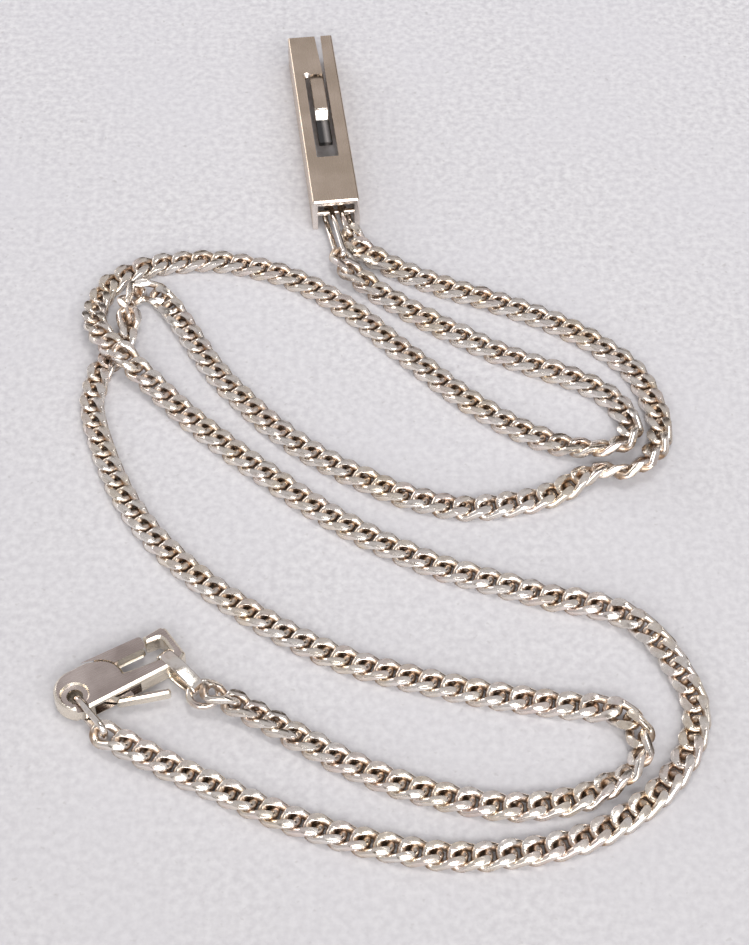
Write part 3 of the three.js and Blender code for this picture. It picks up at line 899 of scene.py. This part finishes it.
def edged_prism(corners, low, high, edge, steps=6):
    """Solid between two heights whose top and bottom edges are cut back by edge at 45 degrees."""
    # The corner between each cut and the side is itself broken by this much
    soft = edge * 0.22
    levels = [(low, edge), (low + edge - soft, soft), (low + edge + soft, 0)]
    levels += [(high - edge - soft, 0), (high - edge + soft, soft), (high, edge)]
    form = bmesh.new()
    rows = [
        [form.verts.new((*point, height * MM)) for point in fillet(inset(corners, amount), steps)]
        for height, amount in levels
    ]
    for row, above in zip(rows, rows[1:]):
        for index, vertex in enumerate(row):
            following = (index + 1) % len(row)
            form.faces.new((vertex, row[following], above[following], above[index]))
    form.faces.new(rows[0][::-1])
    form.faces.new(rows[-1])
    return finished(form, "edged_prism")


def box(x0, y0, z0, x1, y1, z1):
    """Block between two corners, in millimetres."""
    return prism(fillet([(x0, y0, 0), (x1, y0, 0), (x1, y1, 0), (x0, y1, 0)]), z0, z1)


def disc(center, radius, low, high, upright=False, sides=40):
    """Round prism between two heights, in millimetres."""
    return prism(fillet(arc(center, radius, 0, 360 - 360 / sides, sides - 1)), low, high, upright)


def loop_path(length, width, corner, wire):
    """Points round a rounded rectangle in the XY plane, long along X, each with its way out."""
    half_x, half_y = length / 2 - corner, width / 2 - corner
    corner_steps = 14
    straight_steps = 8
    path = []
    corners = [(half_x, -half_y), (half_x, half_y), (-half_x, half_y), (-half_x, -half_y)]
    for quarter, (x, y) in enumerate(corners):
        for step in range(corner_steps + 1):
            angle = math.radians(90 * (quarter - 1 + step / corner_steps))
            out = Vector((math.cos(angle), math.sin(angle), 0))
            path.append((Vector((x, y, 0)) + out * corner, out))
        straight = half_y if quarter % 2 == 0 else half_x
        if straight > wire * 2:
            along = Vector((-out.y, out.x, 0)) * straight * 2
            path += [
                (path[-1][0] + along * step / straight_steps, out)
                for step in range(1, straight_steps)
            ]
    return path


def wire_loop(length, width, corner, wire, depth, squareness, taper, seed):
    """Closed wire loop in its own XY plane. taper narrows the +X end, squareness under 1 flattens."""
    sides = 20
    # Share and frequency per metre of the wire's unevenness
    hammering = 0.07
    hammer_marks = 900
    form = bmesh.new()
    rings = []
    for middle, out in loop_path(length, width, corner, wire):
        narrowing = 1 - taper * max(0, middle.x) / (length / 2)
        middle = Vector((middle.x, middle.y * narrowing, 0))
        swell = 1 + hammering * noise.noise(Vector((middle.x, middle.y, seed * MM)) * hammer_marks)
        ring = []
        for side in range(sides):
            angle = 2 * math.pi * side / sides
            outward = math.copysign(abs(math.cos(angle)) ** squareness, math.cos(angle))
            upward = math.copysign(abs(math.sin(angle)) ** squareness, math.sin(angle))
            offset = out * outward * wire / 2 * swell + Vector((0, 0, upward * depth / 2))
            ring.append(form.verts.new(middle + offset))
        rings.append(ring)
    bridge(form, rings, closed=True)
    return smooth_below(finished(form, "wire_loop"), 50)


def loop_frame(start, end, roll):
    """Placement of a loop whose end wires are centred on two points."""
    forward = (end - start).normalized()
    left = Vector((0, 0, 1)).cross(forward).normalized()
    left.rotate(Quaternion(forward, math.radians(roll)))
    turned = Matrix((forward, left, forward.cross(left))).transposed().to_4x4()
    return Matrix.Translation((start + end) / 2) @ turned


def add_loop(node, start, end, width, corner, wire, depth, roll, material,
             squareness=1.0, taper=0.0, seed=0):
    """A wire piece placed by its two ends, in metres. The sizes are in millimetres."""
    span = (end - start).length
    middle_width = width - wire
    mesh = wire_loop(span, middle_width * MM, min(corner, middle_width / 2) * MM,
                     wire * MM, depth * MM, squareness, taper, seed)
    add_piece(node + "_wire", mesh, node, [material], loop_frame(start, end, roll))


def local_frame(position, turn):
    """Placement of the clip's or the clasp's own frame."""
    place = Vector(position) * MM + Vector(LAYOUT_SHIFT)
    return Matrix.Translation(place) @ Matrix.Rotation(math.radians(turn), 4, "Z")


def turned_mesh(profile, sides=32):
    """Solid turned about X from a profile: place along X and radius, in millimetres."""
    form = bmesh.new()
    rows = []
    for x, radius in profile:
        if radius == 0:
            rows.append([form.verts.new((x * MM, 0, 0))])
            continue
        angles = [2 * math.pi * side / sides for side in range(sides)]
        rows.append([
            form.verts.new((x * MM, radius * MM * math.cos(angle), radius * MM * math.sin(angle)))
            for angle in angles
        ])
    bridge(form, rows)
    return smooth_below(finished(form, "turned"), 40)


def stand_up(mesh, x, y, z=0):
    """Turns a mesh that is long along X upright and moves it, in millimetres."""
    mesh.transform(Matrix.Rotation(math.radians(-90), 4, "Y"))
    mesh.transform(Matrix.Translation(Vector((x, y, z)) * MM))
    return mesh


def round_near_edge(mesh, radius):
    """Rolls the upper edge of the clip's near end over."""
    form = bmesh.new()
    form.from_mesh(mesh)
    top = (CLIP_HEIGHT - 0.9) * MM
    edges = []
    for edge in form.edges:
        ends = [vertex.co for vertex in edge.verts]
        at_near_end = all(end.y < 0.1 * MM and end.z > top for end in ends)
        on_top = (ends[0].z + ends[1].z) / 2 > (CLIP_HEIGHT - 0.45) * MM
        if at_near_end and on_top:
            edges.append(edge)
    bmesh.ops.bevel(form, geom=edges, offset=radius * MM, segments=6, profile=0.5, affect="EDGES")
    form.to_mesh(mesh)
    form.free()
    return mesh


def clip_body_mesh():
    """Folded channel with its window, the tongue's slot and slit, and the bore of the cross pin."""
    half, high, sheet = CLIP_WIDTH / 2, CLIP_HEIGHT, CLIP_SHEET
    section = fillet([
        (-half, 0, 0), (-half, high, 0.4), (half, high, 0.4), (half, 0, 0),
        (half - sheet, 0, 0), (half - sheet, high - sheet, 0.2),
        (-half + sheet, high - sheet, 0.2), (-half + sheet, 0, 0),
    ])
    channel = prism(section, 0, CLIP_LENGTH)
    for vertex in channel.vertices:
        x, y, z = vertex.co
        vertex.co = (x, z, y)
    channel.flip_normals()
    channel = round_near_edge(channel, 0.55)
    past_far_end = CLIP_LENGTH + 1
    inside_channel = 3
    window = prism(fillet([
        (WINDOW_LEFT, WINDOW_START, 0.25), (WINDOW_RIGHT, WINDOW_START, 0.25),
        (WINDOW_RIGHT, TONGUE_ROOT, 0), (SLIT_RIGHT_AT_FORK, past_far_end, 0),
        (SLIT_LEFT_AT_FORK, past_far_end, 0), (TONGUE_RIGHT, TONGUE_ROOT + 0.3, 0.2),
        (TONGUE_LEFT, TONGUE_ROOT + 0.3, 0.3), (WINDOW_LEFT, TONGUE_ROOT + 0.1, 0.45),
    ]), inside_channel, high + 1)
    slot_middle = (WINDOW_LEFT + TONGUE_LEFT) / 2
    stop = stand_up(turned_mesh(SLOT_STOP), slot_middle, TONGUE_ROOT, high)
    past_walls = half + 1
    foot = prism(fillet([
        (-1, -1, 0), (WALL_FOOT_CUT + 0.2, -1, 0), (0.2, 0.2, 0.2), (-1, WALL_FOOT_CUT + 0.2, 0),
    ]), -past_walls, past_walls, upright=True)
    bore = disc((CROSS_PIN_Y, CROSS_PIN_Z), PIN_BORE_RADIUS, -past_walls, past_walls, upright=True)
    return soften(cut_away(channel, [window, stop, foot, bore]), 0.05)


def split_evenly(start, end, count):
    """Points from start to just before end."""
    return [start + (end - start) * step / count for step in range(count)]


def clip_tongue_mesh():
    """Level strip from its root, a slanted step down, then a lower strip, all slightly crowned."""
    bends = fillet(TONGUE_PATH, 7)
    path = [
        *split_evenly(bends[0], bends[1], 6), *bends[1:-2],
        *split_evenly(bends[-2], bends[-1], 6), bends[-1],
    ]
    half = (TONGUE_RIGHT - TONGUE_LEFT) / 2 * MM
    steps_across = 12
    form = bmesh.new()
    rows = []
    for index, point in enumerate(path):
        ahead = path[min(index + 1, len(path) - 1)] - path[max(index - 1, 0)]
        up = Vector((ahead.y, -ahead.x)).normalized()
        row = []
        for side in (1, -1):
            for step in range(steps_across + 1):
                across = (2 * step / steps_across - 1) * side
                crown = TONGUE_CROWN * across * across
                offset = up * (TONGUE_SHEET / 2 - crown) * side * MM
                row.append(form.verts.new((half * across, point.x + offset.x, point.y + offset.y)))
        rows.append(row)
    bridge(form, rows)
    form.faces.new(rows[0])
    form.faces.new(rows[-1][::-1])
    mesh = finished(form, "tongue")
    mesh.transform(Matrix.Translation(((TONGUE_RIGHT + TONGUE_LEFT) / 2 * MM, 0, 0)))
    return soften(mesh, 0.05)


def cross_pin_mesh():
    """Plain pin with slightly domed ends, turned from a profile about its own axis."""
    half = CLIP_WIDTH / 2
    dome = 0.3
    steps = 10
    profile = [
        (-half, 0.0), (-half + 0.03, 0.3), (-half + 0.14, 0.52), (-half + dome, CROSS_PIN_RADIUS),
    ]
    far_end = [(-x, radius) for x, radius in profile[::-1]]
    profile += [
        (-half + dome + (CLIP_WIDTH - 2 * dome) * step / steps, CROSS_PIN_RADIUS)
        for step in range(1, steps)
    ]
    return turned_mesh(profile + far_end)


def add_clip(strands):
    """The bar clip's four kinds of piece, and the ring that joins each strand to its pin."""
    place = local_frame(CLIP_POSITION, CLIP_TURN)
    bar = bar_silver()
    strip = tongue_silver()
    bright = plain_silver("ring_silver", 0.14)
    add_piece("clip_folded_bar", clip_body_mesh(), "clip_body", [bar], place)
    add_piece(
        "clip_spring_tongue", clip_tongue_mesh(), "clip_tongue", [strip], place
    )
    pin_place = place @ Matrix.Translation(Vector((0, CROSS_PIN_Y, CROSS_PIN_Z)) * MM)
    add_piece(
        "clip_turned_pin", cross_pin_mesh(), "clip_cross_pin", [bright], pin_place
    )
    nodes = ("clip_ring_a", "clip_ring_b")
    for node, strand, (pin_x, width, wire, depth, roll) in zip(nodes, strands, CLIP_RINGS):
        behind_pin = CROSS_PIN_Y + CROSS_PIN_RADIUS + RING_PLAY + wire / 2
        start = place @ (Vector((pin_x, behind_pin, CROSS_PIN_Z)) * MM)
        end = strand.frame_at(END_LINK_INSIDE)[0].translation
        add_loop(node, start, end, width, width, wire, depth, roll, bright, squareness=0.8, seed=3)


def clasp_body_mesh():
    """Two plates in one piece with the hook, the lever's slot and the sunk eye with its grooves."""
    high = CLASP_THICKNESS
    outline = [
        (0, -CLASP_HALF_WIDTH, 4.0), *HOOK_OUTLINE, *arc(LEVER_PIVOT, LEVER_ROUND, -6, 78, 16),
        (7.2, CLASP_HALF_WIDTH, 1.0), (0, CLASP_HALF_WIDTH, 4.0),
    ]
    plates = edged_prism(outline, 0, high, edge=0.5, steps=12)
    x, y = EYE_HOLE
    outside = CLASP_HALF_WIDTH + 2
    (slot_start, slot_floor), (slot_end, slot_roof) = LEVER_SLOT
    groove_left, groove_right = x - EYE_GROOVE_HALF, x + EYE_GROOVE_HALF
    upper_floor, lower_floor = EYE_GROOVE_FLOORS
    tools = [
        box(slot_start, -outside, slot_floor, slot_end, outside, slot_roof),
        disc(EYE_HOLE, EYE_RADIUS, -1, high + 1),
        stand_up(turned_mesh(EYE_RIM, 48), x, y),
        box(groove_left, -outside, upper_floor, groove_right, y, high + 1),
        box(groove_left, -outside, -1, groove_right, y, lower_floor),
        disc(LEVER_PIVOT, RIVET_RADIUS + 0.01, -1, high - 0.35),
    ]
    return soften(cut_away(plates, tools), 0.07)


def clasp_lever_mesh():
    """Gate, web and thumb arm in one piece, bored for the rivet."""
    gate = [*arc(LEVER_PIVOT, LEVER_ROUND + 0.3, 30, 74, 12), *GATE_TIP]
    solid = merge([
        edged_prism(gate, 1.2, 3.4, edge=0.3),
        prism(fillet(LEVER_WEB), 1.0, 2.6),
        edged_prism(THUMB_ARM, 0.8, 2.8, edge=0.38),
    ])
    bore = disc(LEVER_PIVOT, RIVET_RADIUS + 0.09, -1, CLASP_THICKNESS + 1)
    return soften(cut_away(solid, [bore]), 0.06)


def rivet_mesh():
    """Rivet with spread ends, its upper one hidden under the plate's skin."""
    top = CLASP_THICKNESS - 0.36
    lower_end = [(0.0, 0.0), (0.0, 0.84), (0.03, RIVET_RADIUS), (0.45, RIVET_RADIUS), (0.7, 0.7)]
    upper_end = [(top - height, radius) for height, radius in lower_end[::-1]]
    return stand_up(turned_mesh(lower_end + upper_end), 0, 0)


def spring_mesh():
    """Flat strip that holds the gate shut."""
    return soften(prism(fillet(SPRING_STRIP), 1.3, 2.3), 0.05)


def add_clasp(strands):
    """The clasp's pieces, the eye link to strand A, and the bail and its ring to strand B."""
    place = local_frame(CLASP_POSITION, CLASP_TURN)
    plate = clasp_silver()
    bright = plain_silver("fitting_silver", 0.15)
    steel = plain_silver("spring_strip", 0.3)
    rivet_place = place @ Matrix.Translation(Vector((*LEVER_PIVOT, 0)) * MM)
    for name, mesh, node, slot, material, placement in (
        ("clasp_plates", clasp_body_mesh(), "clasp_body", "brushed_silver", plate, place),
        ("clasp_gate_lever", clasp_lever_mesh(), "clasp_lever", "brushed_silver", plate, place),
        ("clasp_spring_strip", spring_mesh(), "clasp_spring", "spring_steel", steel, place),
        ("clasp_rivet", rivet_mesh(), "clasp_pivot_pin", "polished_silver", plate, rivet_place),
    ):
        add_piece(name, mesh, node, [material], placement)
    strand_a = strands[0]
    middle = CLASP_THICKNESS / 2
    eye = place @ (Vector((*EYE_HOLE, middle)) * MM)
    link_end = strand_a.frame_at(strand_a.length - END_LINK_INSIDE)[0].translation
    add_loop(
        "clasp_eye_link", eye, link_end, width=4.3, corner=2.1, wire=0.95, depth=1.1, roll=90,
        material=bright, seed=5,
    )
    top = place @ (Vector((*BAIL_TOP, middle)) * MM)
    foot = place @ (Vector((*BAIL_FOOT, middle)) * MM)
    add_loop(
        "clasp_bail", top, foot, width=4.0, corner=1.3, wire=0.5, depth=2.3, roll=90,
        material=bright, squareness=0.35, taper=0.5, seed=7,
    )
    run = (foot - top).normalized()
    near = foot - run * RING_BACK * MM
    far = near + run * RING_SPAN * MM
    add_loop(
        "bail_ring", near, far, width=RING_SPAN + RING_WIRE, corner=3.0, wire=RING_WIRE,
        depth=RING_WIRE, roll=0, material=bright, seed=9,
    )


add_camera()
add_lights()
add_floor()
strands = Strand(ROUTE_A), Strand(ROUTE_B)
chain_materials = [chain_wire_silver(), chain_facet_silver()]
add_strand("a", strands[0], chain_materials, seed=11)
add_strand("b", strands[1], chain_materials, seed=23)
add_clip(strands)
add_clasp(strands)
